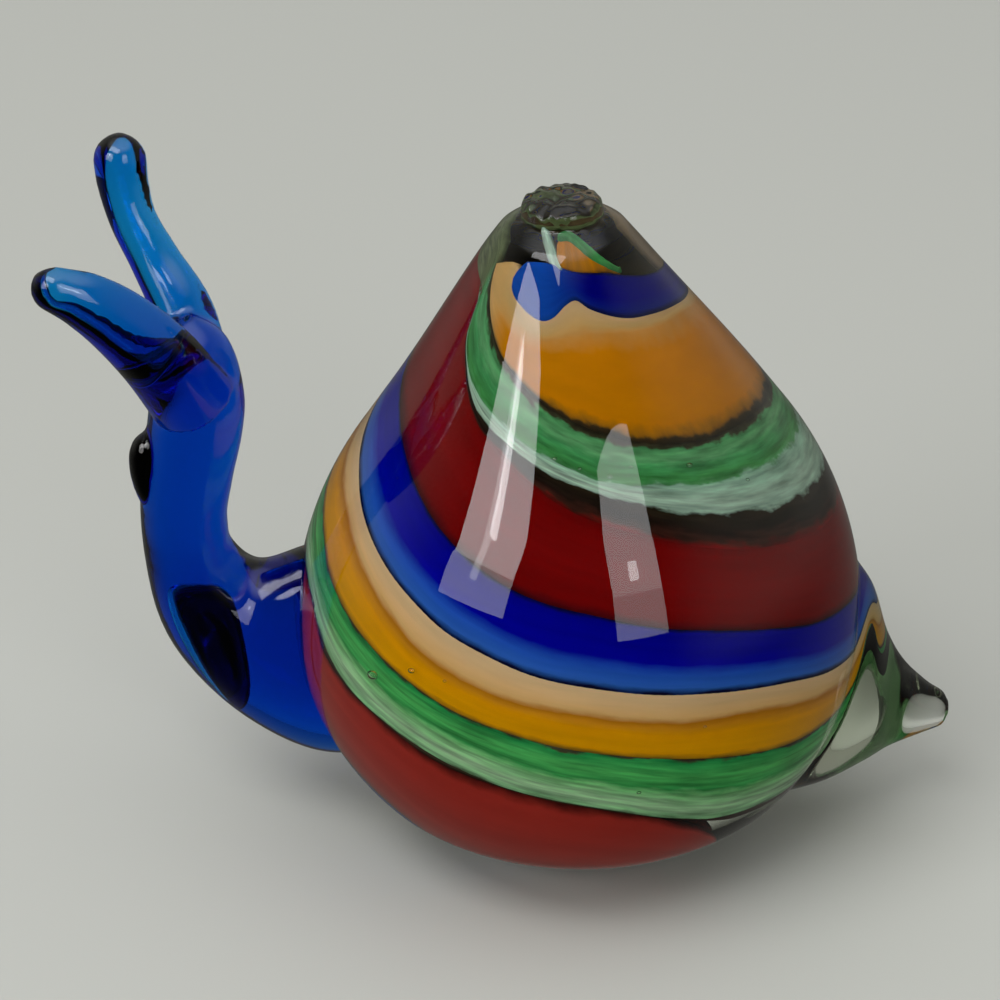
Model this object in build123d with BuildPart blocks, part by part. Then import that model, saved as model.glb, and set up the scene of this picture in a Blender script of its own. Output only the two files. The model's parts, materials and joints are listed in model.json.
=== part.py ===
"""A hand-worked glass snail.

It has a hollow striped shell, a blue neck with two tentacles and a mouth, and a clear tail.
Millimetres. +Z is up and the table is z = 0. The origin is on the table, where the shell axis meets it.
+X points to the tail and -Y to the front.
"""

import os
from math import acos, atan2, cos, degrees, hypot, radians, sin, sqrt, tan

from build123d import *

# Shell outline, half of the section through the shell axis
widest_radius = 44.0
widest_height = 39.0
base_radius = 15.4
shoulder_share = 0.8412
crown_outer_radius = 9.96
crown_height = 106.4
shell_lean_angle = -2.0

# Glass layers of the shell, from the outside in
casing_wall = 2.5
trail_thickness = 1.6
core_wall = 2.0
fuse_gap = 0.1
trail_gap = 0.2

# Crown knob, the sealed end of the blowing neck
knob_rise = 5.2
knob_radius = 6.2
knob_lip = 0.9
knob_round = 0.8
stem_length = 6.0

# Neck, from the shell up to the head
neck_offset = 20.0
joint_rise = 17.4
joint_breadth = 9.6
head_height = 90.5

# Tentacles, from their roots in the head to the middle of their round tips
root_setback = 2.5
root_drop = 11.5
far_root_side = 3.0
far_way = (-11.3, 11.5, 31.8)
far_root_thickness = 11.6
far_tip_thickness = 8.4
near_root_side = -4.0
near_way = (-18.7, -10.5, 24.4)
near_root_thickness = 13.6
near_tip_thickness = 7.6

# Mouth, a small bit pressed on the front of the neck
mouth_station = 5.47
mouth_side = -2.0
mouth_sink = 0.9
mouth_length = 12.0
mouth_depth = 6.0

# Tail, drawn out of the shell to a blunt point
tail_length = 14.2
tail_root_height = 27.0
tail_root_rise = 19.0
tail_root_breadth = 13.5
tail_fall = 6.8

# Winding of the trails, in degrees from the front
turn_angle = 360
quarter_angle = 90
section_angle = 15
blue_start_angle, orange_start_angle, green_start_angle, red_start_angle = -60, -60, -68, -100
blue_end_angle, orange_end_angle, green_end_angle, red_end_angle = 690, 540, 500, 396
taper_angle = 30
end_width_share = 0.3
across_shares = (0, 0.5, 1)

# Edges of the bands, each a quarter turn on from the one before, as shares of the outline's length
# from the crown to the base; the first station is a quarter turn before the front
blue_top_shares = (0.005, 0.02, 0.065, 0.15, 0.24, 0.41, 0.565, 0.6, 0.64, 0.8)
blue_orange_shares = (0.025, 0.065, 0.11, 0.21, 0.32, 0.505, 0.635, 0.68, 0.72, 0.84)
orange_green_shares = (0.03, 0.195, 0.275, 0.355, 0.425, 0.575, 0.705, 0.77, 0.81, 0.9)
green_red_shares = (0.07, 0.3, 0.455, 0.475, 0.49, 0.665, 0.815, 0.86, 0.9, 0.95)

# Neck sections: share of the offset from the shell's widest ring, share of the head height,
# tilt from level, and width and breadth as shares of those at the joint
neck_offset_shares = (-0.6, -0.025, 0.505, 0.89, 1.0, 0.985, 0.898, 0.863, 0.898, 0.968)
neck_height_shares = (0.336, 0.336, 0.37, 0.464, 0.568, 0.674, 0.791, 0.873, 0.95, 1.0)
neck_tilts = (90, 88, 84, 62, 31, 12, -2, -8, 10, 20)
neck_width_shares = (1.0, 1.0, 0.8, 0.588, 0.438, 0.428, 0.428, 0.417, 0.331, 0.128)
neck_breadth_shares = (1.0, 1.0, 0.97, 0.93, 0.81, 0.785, 0.785, 0.76, 0.6, 0.23)

# Tail sections: share of the length outside the shell's widest ring, of the fall, and of the root's section
tail_length_shares = (-1.05, -0.475, 0.0, 0.254, 0.451, 0.712, 0.89, 0.975)
tail_fall_shares = (0.0, 0.0, 0.05, 0.55, 0.8, 0.95, 1.0, 1.0)
tail_rise_shares = (1.05, 1.0, 0.905, 0.62, 0.45, 0.275, 0.168, 0.08)

# Tentacle stations between root and tip: shares of the way along X, Y and Z, and of the thinning
far_x_shares = (0.0, 0.18, 0.53, 0.84, 0.97, 1.0)
far_y_shares = (0.0, 0.3, 0.61, 0.83, 0.96, 1.0)
far_z_shares = (0.0, 0.31, 0.52, 0.71, 0.88, 1.0)
far_thinning_shares = (0.0, 0.5, 1.05, 1.25, 1.1, 1.0)
near_x_shares = (0.0, 0.24, 0.53, 0.775, 1.0)
near_y_shares = (0.0, 0.43, 0.71, 0.886, 1.0)
near_z_shares = (0.0, 0.41, 0.72, 0.9, 1.0)
near_thinning_shares = (0.0, 0.13, 0.4, 0.67, 1.0)
tip_along_shares = (0.3, 0.6, 0.82, 0.96)
station_steps = 3
tentacle_flat_share = 0.8

# Values worked out from the sizes above
shell_plane = Plane.XY.rotated((0, shell_lean_angle, 0))
shell_axis = Axis(shell_plane.origin, shell_plane.z_dir)
base_inset = widest_radius - base_radius
bowl_radius = (base_inset**2 + widest_height**2) / (2 * base_inset)
bowl_angle = degrees(atan2(widest_height, bowl_radius - base_inset))
crown_rise = crown_height - widest_height
shoulder_radius = shoulder_share * crown_rise
crown_spread = crown_outer_radius - widest_radius + shoulder_radius
cone_turn = acos(shoulder_radius / hypot(crown_rise, crown_spread))
cone_angle = degrees(atan2(crown_rise, crown_spread) - cone_turn)
shoulder_height = shoulder_radius * sin(radians(cone_angle))
cone_length = (crown_rise - shoulder_height) / cos(radians(cone_angle))
shoulder_length = shoulder_radius * radians(cone_angle)
outline_length = cone_length + shoulder_length + bowl_radius * radians(bowl_angle)
trail_depth = casing_wall + trail_gap
core_depth = trail_depth + trail_thickness + trail_gap
hollow_depth = core_depth + core_wall


def meridian_plane(turn):
    """Half plane through the shell axis, turned from the front towards the tail by an angle."""
    outward = shell_plane.x_dir * sin(radians(turn)) - shell_plane.y_dir * cos(radians(turn))
    return Plane(origin=shell_plane.origin, x_dir=outward, z_dir=outward.cross(shell_plane.z_dir))


def outline_point(distance, depth):
    """Radius and height of a point at a distance down from the crown, at a depth in the glass."""
    down_shoulder = distance - cone_length
    down_bowl = down_shoulder - shoulder_length
    if down_bowl > 0:
        angle = -down_bowl / bowl_radius
        middle, arc = widest_radius - bowl_radius, bowl_radius - depth
    else:
        angle = radians(cone_angle) - max(down_shoulder, 0) / shoulder_radius
        middle, arc = widest_radius - shoulder_radius, shoulder_radius - depth
    up_cone = max(-down_shoulder, 0)
    radius = middle + arc * cos(angle) - up_cone * sin(radians(cone_angle))
    height = widest_height + arc * sin(angle) + up_cone * cos(radians(cone_angle))
    return radius, height


def crown_radius(depth):
    """Radius at the height of the crown, at a depth in the glass."""
    radius, height = outline_point(cone_length, depth)
    return radius - (crown_height - height) * tan(radians(cone_angle))


def draw_outline(depth):
    """Draw the bowl, the shoulder and the cone of the shell, from the base up, at a depth in the glass."""
    bowl_middle = (widest_radius - bowl_radius, widest_height)
    shoulder_middle = (widest_radius - shoulder_radius, widest_height)
    bowl = CenterArc(bowl_middle, bowl_radius - depth, -bowl_angle, bowl_angle)
    shoulder = CenterArc(shoulder_middle, shoulder_radius - depth, 0, cone_angle)
    cone = Line(shoulder @ 1, (crown_radius(depth), crown_height))
    return bowl @ 0, cone @ 1


def draw_layer(outer_depth, inner_depth, foot_height):
    """Draw the closed section of a layer of glass that stands on a flat foot."""
    outer_foot, outer_crown = draw_outline(outer_depth)
    inner_foot, inner_crown = draw_outline(inner_depth)
    Line(outer_crown, inner_crown)
    Polyline(outer_foot, (outer_foot.X, foot_height), (0, foot_height), (0, inner_foot.Y), inner_foot)


def draw_envelope(growth):
    """Draw the closed section of the whole shell, grown outwards by a little."""
    foot, crown = draw_outline(-growth)
    Polyline(crown, (0, crown_height), (0, foot.Y), foot)


def smooth_share(shares, place):
    """Value at a place between stations, counted from the first, on a smooth curve through all of them."""
    station = min(max(int(place), 0), len(shares) - 2)
    part = place - station
    before = shares[max(station - 1, 0)]
    start, finish = shares[station], shares[station + 1]
    after = shares[min(station + 2, len(shares) - 1)]
    leave, arrive = (finish - before) / 2, (after - start) / 2
    bend = 2 * (start - finish) + leave + arrive
    rise = finish - start - leave - bend
    return start + part * (leave + part * (rise + part * bend))


def band_edge(shares, turn):
    """Distance of a band edge from the crown at a turn angle, from its quarter-turn stations."""
    return smooth_share(shares, (turn + quarter_angle) / quarter_angle) * outline_length


def trail_edges(top_shares, bottom_shares, bottom_turns, turn, first, last):
    """Distances of the two edges of a trail from the crown, drawn together at its rounded ends."""
    top = band_edge(top_shares, turn) + trail_gap / 2
    bottom = band_edge(bottom_shares, turn + bottom_turns * turn_angle) - trail_gap / 2
    from_end = min(turn - first, last - turn, taper_angle) / taper_angle
    open_share = end_width_share + (1 - end_width_share) * sqrt(1 - (1 - from_end) ** 2)
    middle, half = (top + bottom) / 2, (bottom - top) / 2 * open_share
    return middle - half, middle + half


def trail_section(turn, top, bottom):
    """Section of a trail in one half plane, curved with the layer that it lies in."""
    corners = [
        [outline_point(top + share * (bottom - top), depth) for share in across_shares]
        for depth in (trail_depth, trail_depth + trail_thickness)
    ]
    with BuildSketch(meridian_plane(turn)) as section:
        with BuildLine():
            Spline(*corners[0])
            Line(corners[0][-1], corners[1][-1])
            Spline(*reversed(corners[1]))
            Line(corners[1][0], corners[0][0])
        make_face()
    return section.sketch


def trail_sections(top_shares, bottom_shares, first, last, bottom_turns=0):
    """Sections of a wound trail, at even turns and closer together at its rounded ends."""
    near_end = (0, section_angle / 2)
    even = range(first + section_angle, last - section_angle + 1, section_angle)
    turns = [first + turn for turn in near_end] + list(even) + [last - turn for turn in reversed(near_end)]
    return [
        trail_section(turn, *trail_edges(top_shares, bottom_shares, bottom_turns, turn, first, last))
        for turn in turns
    ]


def draw_oval(half_width, half_height):
    """Draw an oval whose seam is always on the same side, so that ovals loft without a twist."""
    Circle(1)
    scale(by=(half_width, half_height, 1))


def stations(shares):
    """Places of the sections of a drawn-out piece, a few between each two stations of its shares."""
    return [step / station_steps for step in range(station_steps * (len(shares) - 1) + 1)]


def neck_place(station):
    """Reach from the shell axis, height, and half width of the neck at a station."""
    reach = widest_radius + smooth_share(neck_offset_shares, station) * neck_offset
    height = smooth_share(neck_height_shares, station) * head_height
    return reach, height, smooth_share(neck_width_shares, station) * joint_rise


def neck_sections(growth):
    """Oval sections of the neck from inside the shell to the top of the head, a little grown."""
    sections = []
    for station in stations(neck_tilts):
        tilt = radians(smooth_share(neck_tilts, station))
        reach, height, half_width = neck_place(station)
        half_width += growth
        half_breadth = smooth_share(neck_breadth_shares, station) * joint_breadth + growth
        along = (-sin(tilt), 0, cos(tilt))
        with BuildSketch(Plane(origin=(-reach, 0, height), x_dir=(0, 1, 0), z_dir=along)) as section:
            draw_oval(half_breadth, half_width)
        sections.append(section.sketch)
    return sections


def tail_sections():
    """Oval sections of the tail from inside the shell to its blunt tip."""
    sections = []
    for station in stations(tail_rise_shares):
        rise = smooth_share(tail_rise_shares, station)
        reach = widest_radius + smooth_share(tail_length_shares, station) * tail_length
        height = tail_root_height - smooth_share(tail_fall_shares, station) * tail_fall
        with BuildSketch(Plane(origin=(reach, 0, height), x_dir=(0, 1, 0), z_dir=(1, 0, 0))) as section:
            draw_oval(rise * tail_root_breadth, rise * tail_root_rise)
        sections.append(section.sketch)
    return sections


def tentacle_sections(root_side, way, root_thickness, tip_thickness, way_shares, thinning_shares):
    """Oval sections along a tentacle from its root in the head, closed by a round tip."""
    root = Vector(root_setback - widest_radius - neck_offset, root_side, head_height - root_drop)
    way = Vector(*way)
    tip = root + way
    places, halves = [], []
    for station in stations(thinning_shares):
        x, y, z = (smooth_share(shares, station) for shares in way_shares)
        places.append(root + Vector(way.X * x, way.Y * y, way.Z * z))
        thinning = smooth_share(thinning_shares, station) * (tip_thickness - root_thickness)
        halves.append((root_thickness + thinning) / 2)
    aims = [(after - before).normalized() for before, after in zip(places, places[1:])]
    directions = [aims[0]] + [(a + b).normalized() for a, b in zip(aims, aims[1:])] + [aims[-1]]
    for share in tip_along_shares:
        places.append(tip + aims[-1] * (share * tip_thickness / 2))
        halves.append(tip_thickness / 2 * sqrt(1 - share**2))
        directions.append(aims[-1])
    sections = []
    for place, half, direction in zip(places, halves, directions):
        across = Vector(0, 1, 0).cross(direction).normalized()
        with BuildSketch(Plane(origin=place, x_dir=across, z_dir=direction)) as section:
            draw_oval(half, half * tentacle_flat_share)
        sections.append(section.sketch)
    return sections


os.makedirs("parts", exist_ok=True)

# Whole shell grown by the fusing gap, to trim what is stuck on it
with BuildPart() as shell_envelope:
    with BuildSketch(meridian_plane(0)):
        with BuildLine():
            draw_envelope(fuse_gap)
        make_face()
    revolve(axis=shell_axis)

# Neck grown by the fusing gap, to trim what is stuck on it
with BuildPart() as neck_envelope:
    loft(neck_sections(fuse_gap), ruled=True)

# Core bubble: the blown wall round the hollow, open at the crown
with BuildPart() as core_bubble:
    casing_floor = outline_point(outline_length, casing_wall)[1]
    with BuildSketch(meridian_plane(0)):
        with BuildLine():
            draw_layer(core_depth, hollow_depth, casing_floor + fuse_gap)
        make_face()
    revolve(axis=shell_axis)
core_bubble.part.label = "core_bubble"

# Colour trails wound round the core from the crown to the base
with BuildPart() as blue_trail:
    loft(trail_sections(blue_top_shares, blue_orange_shares, blue_start_angle, blue_end_angle))
blue_trail.part.label = "blue_trail"

with BuildPart() as orange_trail:
    loft(trail_sections(blue_orange_shares, orange_green_shares, orange_start_angle, orange_end_angle))
orange_trail.part.label = "orange_trail"

with BuildPart() as green_trail:
    loft(trail_sections(orange_green_shares, green_red_shares, green_start_angle, green_end_angle))
green_trail.part.label = "green_trail"

with BuildPart() as red_trail:
    loft(trail_sections(green_red_shares, blue_top_shares, red_start_angle, red_end_angle, bottom_turns=1))
red_trail.part.label = "red_trail"

# Clear casing: the outer gather over the trails, ground flat where it stands
with BuildPart() as clear_casing:
    base_drop = base_radius * tan(radians(abs(shell_lean_angle)))
    with BuildSketch(meridian_plane(0)):
        with BuildLine():
            draw_layer(0, casing_wall, -2 * base_drop - fuse_gap)
        make_face()
    revolve(axis=shell_axis)
    split(bisect_by=Plane.XY, keep=Keep.TOP)
clear_casing.part.label = "clear_casing"

# Crown knob: the rough seal on top, with a stem in the mouth of the core
with BuildPart() as crown_knob:
    stem_radius = crown_radius(hollow_depth) - fuse_gap
    seat_height = crown_height + fuse_gap
    knob_height = crown_height + knob_rise
    with BuildSketch(meridian_plane(0)):
        with BuildLine():
            Polyline(
                (0, crown_height - stem_length),
                (stem_radius, crown_height - stem_length),
                (stem_radius, seat_height),
                (crown_radius(0), seat_height),
                (knob_radius + knob_lip, knob_height - 2 * knob_lip),
                (knob_radius, knob_height - knob_lip),
                (knob_radius, knob_height),
                (0, knob_height),
                close=True,
            )
        make_face()
    revolve(axis=shell_axis)
    fillet(crown_knob.edges().filter_by(GeomType.CIRCLE).sort_by(shell_axis)[-1], knob_round)
crown_knob.part.label = "crown_knob"

# Tail: clear glass drawn out of the side of the shell
with BuildPart() as tail:
    loft(tail_sections(), ruled=True)
    add(shell_envelope.part, mode=Mode.SUBTRACT)
tail.part.label = "tail"

# Neck: a thick blue gather from the side of the shell up to the head
with BuildPart() as neck:
    loft(neck_sections(0), ruled=True)
    add(shell_envelope.part, mode=Mode.SUBTRACT)
neck.part.label = "neck"

# Tentacles: two bits drawn out from the head and bent forwards
with BuildPart() as near_tentacle:
    near_ways = (near_x_shares, near_y_shares, near_z_shares)
    loft(tentacle_sections(
        near_root_side, near_way, near_root_thickness, near_tip_thickness, near_ways, near_thinning_shares
    ), ruled=True)
    add(neck_envelope.part, mode=Mode.SUBTRACT)
near_tentacle.part.label = "near_tentacle"

with BuildPart() as far_tentacle:
    far_ways = (far_x_shares, far_y_shares, far_z_shares)
    loft(tentacle_sections(
        far_root_side, far_way, far_root_thickness, far_tip_thickness, far_ways, far_thinning_shares
    ), ruled=True)
    add(neck_envelope.part, mode=Mode.SUBTRACT)
far_tentacle.part.label = "far_tentacle"

# Mouth: a small round bit on the front of the neck
with BuildPart() as mouth:
    mouth_reach, mouth_height, neck_half_width = neck_place(mouth_station)
    mouth_place = (mouth_sink - mouth_reach - neck_half_width, mouth_side, mouth_height)
    with BuildSketch(Plane(origin=mouth_place, x_dir=(1, 0, 0), z_dir=(0, -1, 0))):
        Ellipse(mouth_depth / 2, mouth_length / 2)
        split(bisect_by=Plane.YZ, keep=Keep.BOTTOM)
    revolve(axis=Axis(mouth_place, (0, 0, 1)))
    add(neck_envelope.part, mode=Mode.SUBTRACT)
mouth.part.label = "mouth"

for piece in (
    core_bubble, blue_trail, orange_trail, green_trail, red_trail, clear_casing,
    crown_knob, tail, neck, near_tentacle, far_tentacle, mouth,
):
    export_step(piece.part, f"parts/{piece.part.label}.step")
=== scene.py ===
"""Looks of a hand-worked glass snail: striped shell, blue neck and tentacles, clear tail.

Lengths are millimetres in the classes and metres in the meshes. +X points to the tail, -Y to the front.
"""

import json
import logging
import math
from dataclasses import dataclass
from enum import Enum
from typing import ClassVar

import bpy
from mathutils import Matrix, Vector, noise

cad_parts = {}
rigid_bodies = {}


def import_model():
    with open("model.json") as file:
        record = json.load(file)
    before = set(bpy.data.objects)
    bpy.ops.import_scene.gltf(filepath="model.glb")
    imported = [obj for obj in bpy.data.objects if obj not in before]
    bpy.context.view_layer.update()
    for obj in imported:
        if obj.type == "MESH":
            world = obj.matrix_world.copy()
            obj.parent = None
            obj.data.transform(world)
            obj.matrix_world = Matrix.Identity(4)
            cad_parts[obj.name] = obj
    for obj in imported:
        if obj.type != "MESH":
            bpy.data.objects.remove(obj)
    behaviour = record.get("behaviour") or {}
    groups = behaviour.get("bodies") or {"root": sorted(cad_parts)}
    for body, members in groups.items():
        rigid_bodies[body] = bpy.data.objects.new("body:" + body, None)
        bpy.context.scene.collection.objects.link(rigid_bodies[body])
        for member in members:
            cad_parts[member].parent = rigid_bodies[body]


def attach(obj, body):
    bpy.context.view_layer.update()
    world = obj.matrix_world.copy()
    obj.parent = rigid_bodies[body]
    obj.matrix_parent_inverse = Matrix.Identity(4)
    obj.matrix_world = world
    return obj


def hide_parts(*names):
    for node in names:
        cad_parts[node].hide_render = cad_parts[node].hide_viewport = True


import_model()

MM = 0.001
FULL_TURN = 360.0
LOG = logging.getLogger("glass_snail")

Colour = tuple[float, float, float, float]
Knots = tuple[tuple[float, float], ...]
Stops = tuple[tuple[float, str], ...]
Pairs = list[tuple[float, float]]
Rings = list[list[Vector]]


class Slot(Enum):
    """Material slots of the record that the pieces are finished in."""

    CLEAR = "clear_glass"
    COBALT = "cobalt_glass"
    BLUE = "blue_opaque_glass"
    ORANGE = "orange_opaque_glass"
    GREEN = "green_opaque_glass"
    RED = "red_opaque_glass"


def linear(hex_colour: str) -> Colour:
    """Turn an sRGB hex colour into linear light.

    Args:
        hex_colour: Six hex digits, with or without a leading hash.

    Returns:
        Red, green, blue and an alpha of one.
    """
    digits = hex_colour.lstrip("#")
    parts = [int(digits[i : i + 2], 16) / 255 for i in (0, 2, 4)]
    light = [c / 12.92 if c <= 0.04045 else ((c + 0.055) / 1.055) ** 2.4 for c in parts]
    return (light[0], light[1], light[2], 1.0)


def under_glass(hex_colour: str) -> Colour:
    """Own colour of an opaque layer that shows as the given colour through a clear layer fused on it.

    Light is thrown back at the inside of the clear layer many times, which deepens every colour.

    Args:
        hex_colour: The colour as it is seen through the clear layer.

    Returns:
        Linear colour of the layer itself.
    """
    enters_and_leaves, thrown_back = 0.384, 0.6
    seen = linear(hex_colour)[:3]
    own = [c / (enters_and_leaves + thrown_back * c) for c in seen]
    return (own[0], own[1], own[2], 1.0)


def add(tree: bpy.types.NodeTree, kind: str, settings: dict | None = None, links: dict | None = None):
    """Add a node with its settings and inputs.

    Args:
        tree: Node tree that gets the node.
        kind: Blender's name for the node.
        settings: Attributes of the node.
        links: Inputs by name or number, each a value or a socket to link.

    Returns:
        The new node.
    """
    made = tree.nodes.new(kind)
    for name, value in (settings or {}).items():
        setattr(made, name, value)
    feed(made, links or {})
    return made


def feed(node: bpy.types.Node, links: dict) -> None:
    """Give a node its inputs, by name or number, each a value or a socket to link."""
    for name, value in links.items():
        if isinstance(value, bpy.types.NodeSocket):
            node.id_data.links.new(value, node.inputs[name])
        else:
            node.inputs[name].default_value = value


def smooth_at(knots: Knots, place: float) -> float:
    """Value at a place on a smooth curve through knots that may be unevenly spaced.

    Args:
        knots: Pairs of place and value, in order.
        place: Where the value is wanted. Past the ends the end values hold.

    Returns:
        The value there.
    """
    if place <= knots[0][0]:
        return knots[0][1]
    if place >= knots[-1][0]:
        return knots[-1][1]
    last = len(knots) - 1
    right = next(i for i, knot in enumerate(knots) if knot[0] > place)
    left = right - 1

    def slope(i: int) -> float:
        """Slope of the curve at a knot, from its neighbours."""
        before, after = knots[max(i - 1, 0)], knots[min(i + 1, last)]
        return (after[1] - before[1]) / (after[0] - before[0])

    (x0, y0), (x1, y1) = knots[left], knots[right]
    span = x1 - x0
    t = (place - x0) / span
    rest = 1 - t
    keep = y0 * (1 + 2 * t) * rest**2 + y1 * (1 + 2 * rest) * t**2
    bend = slope(left) * t * rest**2 - slope(right) * rest * t**2
    return keep + bend * span


def smooth_share(shares: tuple[float, ...], place: float) -> float:
    """Value at a place between evenly spaced stations, on a smooth curve through all of them."""
    return smooth_at(tuple((float(i), share) for i, share in enumerate(shares)), place)


def skin(name: str, rings: Rings, inside_out: bool = False) -> bpy.types.Object:
    """Close a stack of rings into a skin.

    Args:
        name: Name of the new object.
        rings: Rings of points with the same count each. The end rings are capped by a point in their middle.
        inside_out: True for a hollow, whose faces look into the empty space.

    Returns:
        The new mesh object.
    """
    count = len(rings[0])
    points = [point for ring in rings for point in ring]
    faces = []
    for row in range(len(rings) - 1):
        for i in range(count):
            after = (i + 1) % count
            low, high = row * count, (row + 1) * count
            faces.append((low + i, low + after, high + after, high + i))
    for ring, turned in ((0, True), (len(rings) - 1, False)):
        middle = len(points)
        points.append(sum(rings[ring], Vector()) / count)
        for i in range(count):
            pair = (ring * count + i, ring * count + (i + 1) % count)
            faces.append((middle, *(reversed(pair) if turned else pair)))
    mesh = bpy.data.meshes.new(name)
    mesh.from_pydata(points, [], faces)
    piece = bpy.data.objects.new(name, mesh)
    bpy.context.collection.objects.link(piece)
    pick(piece)
    bpy.ops.object.mode_set(mode="EDIT")
    bpy.ops.mesh.select_all(action="SELECT")
    bpy.ops.mesh.normals_make_consistent(inside=inside_out)
    bpy.ops.object.mode_set(mode="OBJECT")
    bpy.ops.object.shade_smooth()
    return piece


def pick(*pieces: bpy.types.Object) -> None:
    """Select these pieces alone, the first of them active."""
    bpy.ops.object.select_all(action="DESELECT")
    for piece in pieces:
        piece.select_set(True)
    bpy.context.view_layer.objects.active = pieces[0]


def join(*pieces: bpy.types.Object) -> bpy.types.Object:
    """Join pieces into the first of them and return it."""
    pick(*pieces)
    bpy.ops.object.join()
    return pieces[0]


def ball(halves: tuple[float, ...], segments: int, inside_out: bool = False) -> bpy.types.Object:
    """Add a smooth ball at the origin, drawn out to its half axes.

    Args:
        halves: Half axes in millimetres.
        segments: Count of faces round its middle.
        inside_out: True for an air bubble, whose faces look into the empty space.

    Returns:
        The new mesh object.
    """
    bpy.ops.object.select_all(action="DESELECT")
    bpy.ops.mesh.primitive_uv_sphere_add(segments=segments, ring_count=segments // 2, radius=MM)
    piece = bpy.context.object
    bpy.ops.object.mode_set(mode="EDIT")
    bpy.ops.mesh.select_all(action="SELECT")
    bpy.ops.transform.resize(value=halves)
    bpy.ops.mesh.normals_make_consistent(inside=inside_out)
    bpy.ops.object.mode_set(mode="OBJECT")
    bpy.ops.object.shade_smooth()
    return piece


def modify(piece: bpy.types.Object, kind: str, **settings) -> None:
    """Give a piece a modifier with these settings and apply it."""
    modifier = piece.modifiers.new(kind.lower(), kind)
    for name, value in settings.items():
        setattr(modifier, name, value)
    pick(piece)
    bpy.ops.object.modifier_apply(modifier=modifier.name)


@dataclass(frozen=True)
class ShellForm:
    """Outline of the shell, a bowl, a shoulder and a cone turned about a leaning axis.

    The bowl is drawn in to a narrower foot. The shell swells a little under the neck, and its crown is
    shifted towards the head.
    """

    widest_radius: float = 44.0
    widest_height: float = 39.0
    base_radius: float = 15.4
    shoulder_share: float = 0.8412
    crown_radius: float = 9.96
    crown_height: float = 106.4
    lean: float = -2.0
    foot_radius: float = 13.6
    foot_slope: float = 1.732
    foot_blend: float = 3.0
    swell: float = 1.6
    swell_height: float = 36.0
    swell_half: float = 34.0
    crown_shift: float = 1.5
    shift_start: float = 76.0
    turn_step: float = 2.0

    @property
    def bowl_radius(self) -> float:
        """Radius of the arc from the widest ring down to the base."""
        inset = self.widest_radius - self.base_radius
        return (inset**2 + self.widest_height**2) / (2 * inset)

    @property
    def bowl_angle(self) -> float:
        """Angle of the bowl's arc in radians."""
        inset = self.widest_radius - self.base_radius
        return math.atan2(self.widest_height, self.bowl_radius - inset)

    @property
    def shoulder_radius(self) -> float:
        """Radius of the arc from the widest ring up to the cone."""
        return self.shoulder_share * (self.crown_height - self.widest_height)

    @property
    def cone_angle(self) -> float:
        """Angle of the shoulder's arc, and of the cone to the axis, in radians."""
        rise = self.crown_height - self.widest_height
        spread = self.crown_radius - self.widest_radius + self.shoulder_radius
        return math.atan2(rise, spread) - math.acos(self.shoulder_radius / math.hypot(rise, spread))

    @property
    def cone_length(self) -> float:
        """Length of the cone down from the crown."""
        rise = self.crown_height - self.widest_height - self.shoulder_radius * math.sin(self.cone_angle)
        return rise / math.cos(self.cone_angle)

    @property
    def length(self) -> float:
        """Length of the whole outline from the crown to the base."""
        arcs = self.shoulder_radius * self.cone_angle + self.bowl_radius * self.bowl_angle
        return self.cone_length + arcs

    def outline(self, distance: float, depth: float) -> tuple[float, float]:
        """Radius and height of a point of the outline.

        Args:
            distance: Way down the outline from the crown.
            depth: Depth below the outside of the glass.

        Returns:
            Radius from the axis and height above the base.
        """
        down_shoulder = distance - self.cone_length
        down_bowl = down_shoulder - self.shoulder_radius * self.cone_angle
        if down_bowl > 0:
            angle = -down_bowl / self.bowl_radius
            middle, arc = self.widest_radius - self.bowl_radius, self.bowl_radius - depth
        else:
            angle = self.cone_angle - max(down_shoulder, 0) / self.shoulder_radius
            middle, arc = self.widest_radius - self.shoulder_radius, self.shoulder_radius - depth
        up_cone = max(-down_shoulder, 0)
        radius = middle + arc * math.cos(angle) - up_cone * math.sin(self.cone_angle)
        height = self.widest_height + arc * math.sin(angle) + up_cone * math.cos(self.cone_angle)
        foot = self.foot_radius + self.foot_slope * height - depth * math.hypot(1, self.foot_slope)
        near = max(self.foot_blend - abs(radius - foot), 0.0) / self.foot_blend
        return min(radius, foot) - near**2 * self.foot_blend / 4, height

    def turned(self, turn: float, radius: float, height: float) -> Vector:
        """Point in metres at a turn from the front towards the tail, never below the table.

        Args:
            turn: Degrees from the front towards the tail.
            radius: Distance from the leaning axis.
            height: Way up the leaning axis.

        Returns:
            The point in the shared frame.
        """
        angle = math.radians(turn)
        level = max(1 - ((height - self.swell_height) / self.swell_half) ** 2, 0.0)
        radius += self.swell * level * max(-math.sin(angle), 0.0) ** 2 * radius / self.widest_radius
        above = min(max((height - self.shift_start) / (self.crown_height - self.shift_start), 0.0), 1.0)
        shift = self.crown_shift * above**2 * (3 - 2 * above)
        upright = Vector((radius * math.sin(angle) - shift, -radius * math.cos(angle), height))
        place = Matrix.Rotation(math.radians(self.lean), 3, "Y") @ upright
        place.z = max(place.z, 0.0)
        return place * MM

    def point(self, turn: float, distance: float, depth: float) -> Vector:
        """Point in metres at a turn, a way down the outline and a depth."""
        return self.turned(turn, *self.outline(distance, depth))

    def lathe(self, name: str, outline: Pairs, inside_out: bool = False) -> bpy.types.Object:
        """Skin of an outline that is turned about the axis.

        Args:
            name: Name of the new object.
            outline: Pairs of radius and height.
            inside_out: True for a hollow.

        Returns:
            The new mesh object.
        """
        turns = [i * self.turn_step for i in range(round(FULL_TURN / self.turn_step))]
        return skin(name, [[self.turned(turn, *pair) for turn in turns] for pair in outline], inside_out)


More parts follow.
